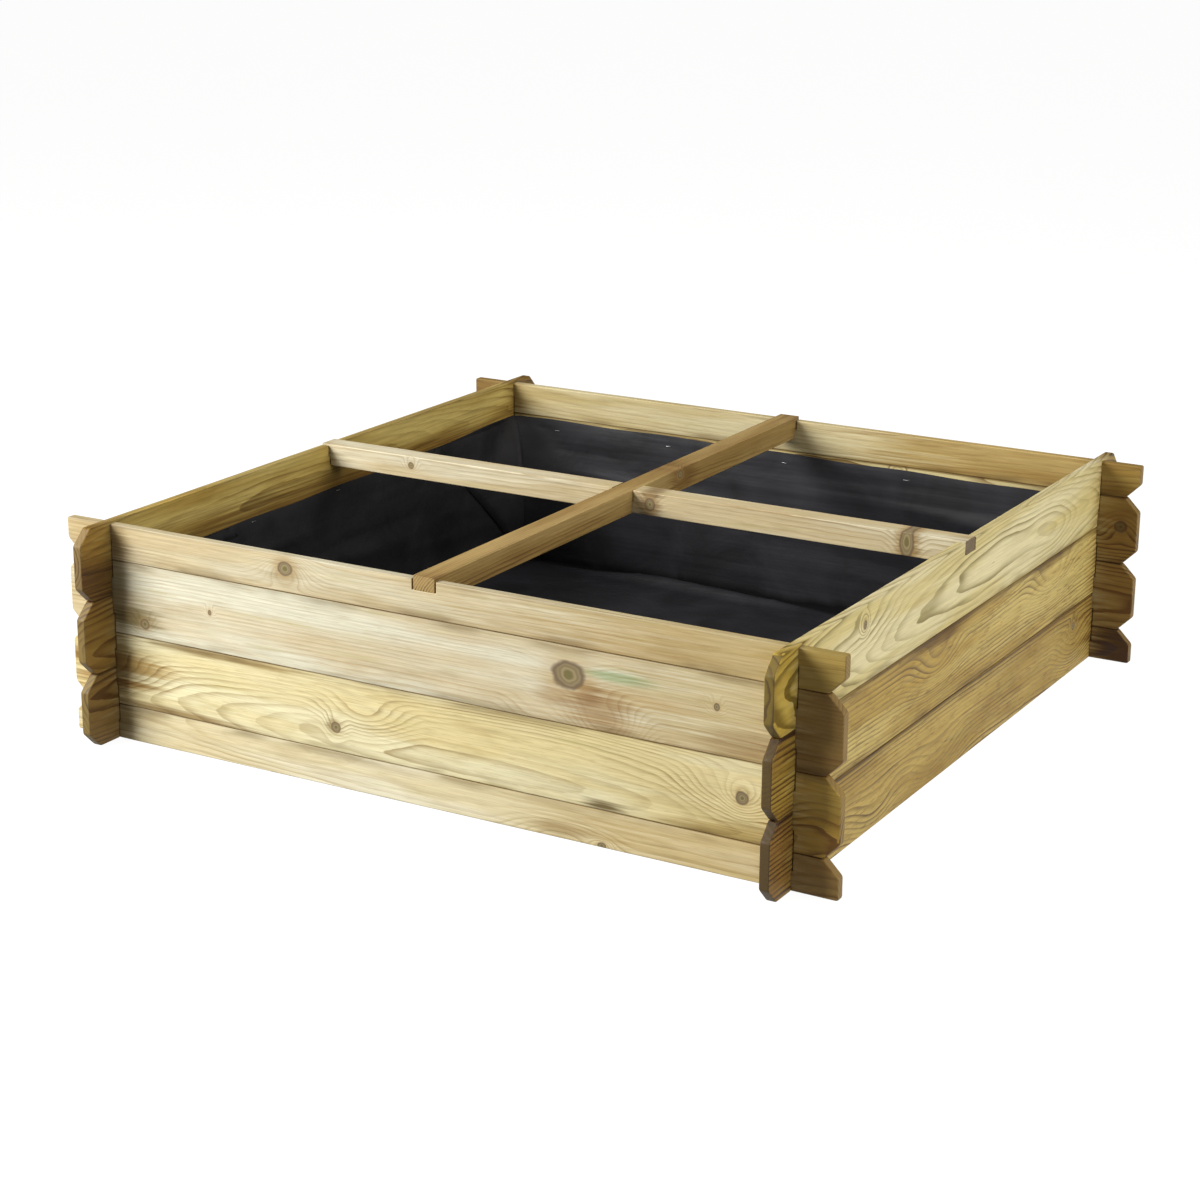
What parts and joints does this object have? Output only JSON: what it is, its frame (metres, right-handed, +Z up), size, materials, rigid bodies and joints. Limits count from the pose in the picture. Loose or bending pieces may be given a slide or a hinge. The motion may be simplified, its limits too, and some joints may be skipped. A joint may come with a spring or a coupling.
{
  "type": "sandbox",
  "caption": "Low square timber sandbox with notched log-cabin corners, a crossed pair of lift-out divider bars and a stapled black ground liner.",
  "frame": {"origin": "middle of the frame, on the ground", "axes": "+X to the right along the front wall, +Y from the front wall to the back wall, +Z up"},
  "size_m": [1.2, 1.2, 0.32],
  "materials": {
    "front_boards": "planed pressure-treated pine, matt",
    "side_boards": "planed pressure-treated pine, matt, greener",
    "divider_bars": "planed pine bar, matt",
    "liner_sheet": "black plastic ground sheet, dull sheen",
    "staple_wire": "galvanised wire"
  },
  "bodies": {
    "frame": {"front_board_bottom": "front_boards", "front_board_lower": "front_boards", "front_board_upper": "front_boards", "front_board_top": "front_boards", "back_board_bottom": "front_boards", "back_board_lower": "front_boards", "back_board_upper": "front_boards", "back_board_top": "front_boards", "left_board_bottom": "side_boards", "left_board_middle": "side_boards", "left_board_top": "side_boards", "right_board_bottom": "side_boards", "right_board_middle": "side_boards", "right_board_top": "side_boards", "liner": "liner_sheet", "liner_staples": "staple_wire"},
    "lower_bar": {"divider_left_right": "divider_bars"},
    "upper_bar": {"divider_front_back": "divider_bars"}
  },
  "joints": [
    {"name": "divider_left_right_lift", "type": "slide", "parent": "frame", "child": "lower_bar", "axis": [0, 0, 1], "range_m": [0, 0.15]},
    {"name": "divider_front_back_lift", "type": "slide", "parent": "lower_bar", "child": "upper_bar", "axis": [0, 0, 1], "range_m": [0, 0.15]}
  ]
}
